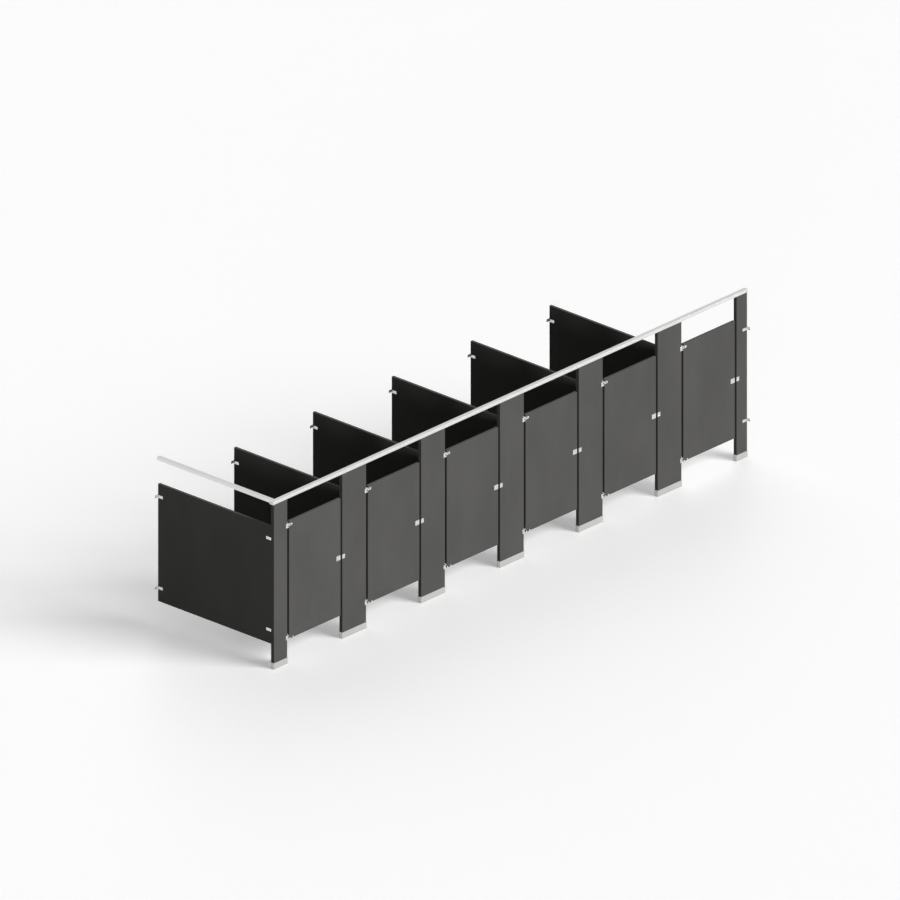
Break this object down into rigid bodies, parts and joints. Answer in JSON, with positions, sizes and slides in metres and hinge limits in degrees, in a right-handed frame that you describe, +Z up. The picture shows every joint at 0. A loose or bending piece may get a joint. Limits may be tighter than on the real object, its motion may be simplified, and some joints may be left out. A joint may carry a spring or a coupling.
{
  "type": "toilet partition",
  "caption": "Overhead-braced toilet partition row: dark boards, inswing doors on pivot hinges with slide latches, floor shoes and a head rail.",
  "frame": {"origin": "on the floor, under the middle of the row's box", "axes": "+X along the row of doors towards the end wall, +Y from the doors into the compartments, +Z up"},
  "size_m": [7.95, 1.849, 2.085],
  "materials": {
    "board": "fine matte texture",
    "rail": "satin anodised",
    "shoe": "satin brushed",
    "hardware": "satin plated casting",
    "fastener": "bright",
    "inner_plate": "zinc plated"
  },
  "bodies": {
    "frame": {"frame_fasteners": "fastener", "head_rail": "rail", "hinge_brackets": "hardware", "hinge_pins": "fastener", "keepers": "hardware", "levelling_feet": "inner_plate", "pilaster_1": "board", "pilaster_2": "board", "pilaster_3": "board", "pilaster_4": "board", "pilaster_5": "board", "pilaster_6": "board", "pilaster_7": "board", "pilaster_brackets": "hardware", "pilaster_shoes": "shoe", "rail_fittings": "inner_plate", "return_rail": "rail", "side_panel_1": "board", "side_panel_2": "board", "side_panel_3": "board", "side_panel_4": "board", "side_panel_5": "board", "side_panel_6": "board", "wall_brackets": "hardware"},
    "door_1": {"door_leaf_1": "board", "hinge_straps_1": "hardware", "latch_case_1": "hardware", "coat_hook_1": "hardware", "door_fasteners_1": "fastener"},
    "latch_bolt_1": {"latch_bolt_1": "hardware"},
    "door_2": {"door_leaf_2": "board", "hinge_straps_2": "hardware", "latch_case_2": "hardware", "coat_hook_2": "hardware", "door_fasteners_2": "fastener"},
    "latch_bolt_2": {"latch_bolt_2": "hardware"},
    "door_3": {"door_leaf_3": "board", "hinge_straps_3": "hardware", "latch_case_3": "hardware", "coat_hook_3": "hardware", "door_fasteners_3": "fastener"},
    "latch_bolt_3": {"latch_bolt_3": "hardware"},
    "door_4": {"door_leaf_4": "board", "hinge_straps_4": "hardware", "latch_case_4": "hardware", "coat_hook_4": "hardware", "door_fasteners_4": "fastener"},
    "latch_bolt_4": {"latch_bolt_4": "hardware"},
    "door_5": {"door_leaf_5": "board", "hinge_straps_5": "hardware", "latch_case_5": "hardware", "coat_hook_5": "hardware", "door_fasteners_5": "fastener"},
    "latch_bolt_5": {"latch_bolt_5": "hardware"},
    "door_6": {"door_leaf_6": "board", "hinge_straps_6": "hardware", "latch_case_6": "hardware", "coat_hook_6": "hardware", "door_fasteners_6": "fastener"},
    "latch_bolt_6": {"latch_bolt_6": "hardware"}
  },
  "joints": [
    {"name": "door_1_swing", "type": "hinge", "parent": "frame", "child": "door_1", "pos_m": [-3.7137, -0.8645, 0.293], "axis": [0, 0, 1], "range_deg": [0, 90], "stiffness_Nm_per_rad": 1.5, "springref_deg": -114.59},
    {"name": "latch_1_slide", "type": "slide", "parent": "door_1", "child": "latch_bolt_1", "axis": [1, 0, 0], "range_m": [0, 0.022]},
    {"name": "door_2_swing", "type": "hinge", "parent": "frame", "child": "door_2", "pos_m": [-2.3937, -0.8645, 0.293], "axis": [0, 0, 1], "range_deg": [0, 90], "stiffness_Nm_per_rad": 1.5, "springref_deg": -114.59},
    {"name": "latch_2_slide", "type": "slide", "parent": "door_2", "child": "latch_bolt_2", "axis": [1, 0, 0], "range_m": [0, 0.022]},
    {"name": "door_3_swing", "type": "hinge", "parent": "frame", "child": "door_3", "pos_m": [-1.0737, -0.8645, 0.293], "axis": [0, 0, 1], "range_deg": [0, 90], "stiffness_Nm_per_rad": 1.5, "springref_deg": -114.59},
    {"name": "latch_3_slide", "type": "slide", "parent": "door_3", "child": "latch_bolt_3", "axis": [1, 0, 0], "range_m": [0, 0.022]},
    {"name": "door_4_swing", "type": "hinge", "parent": "frame", "child": "door_4", "pos_m": [0.2463, -0.8645, 0.293], "axis": [0, 0, 1], "range_deg": [0, 90], "stiffness_Nm_per_rad": 1.5, "springref_deg": -114.59},
    {"name": "latch_4_slide", "type": "slide", "parent": "door_4", "child": "latch_bolt_4", "axis": [1, 0, 0], "range_m": [0, 0.022]},
    {"name": "door_5_swing", "type": "hinge", "parent": "frame", "child": "door_5", "pos_m": [1.5663, -0.8645, 0.293], "axis": [0, 0, 1], "range_deg": [0, 90], "stiffness_Nm_per_rad": 1.5, "springref_deg": -114.59},
    {"name": "latch_5_slide", "type": "slide", "parent": "door_5", "child": "latch_bolt_5", "axis": [1, 0, 0], "range_m": [0, 0.022]},
    {"name": "door_6_swing", "type": "hinge", "parent": "frame", "child": "door_6", "pos_m": [2.8863, -0.8645, 0.293], "axis": [0, 0, 1], "range_deg": [0, 90], "stiffness_Nm_per_rad": 1.5, "springref_deg": -114.59},
    {"name": "latch_6_slide", "type": "slide", "parent": "door_6", "child": "latch_bolt_6", "axis": [1, 0, 0], "range_m": [0, 0.022]}
  ]
}
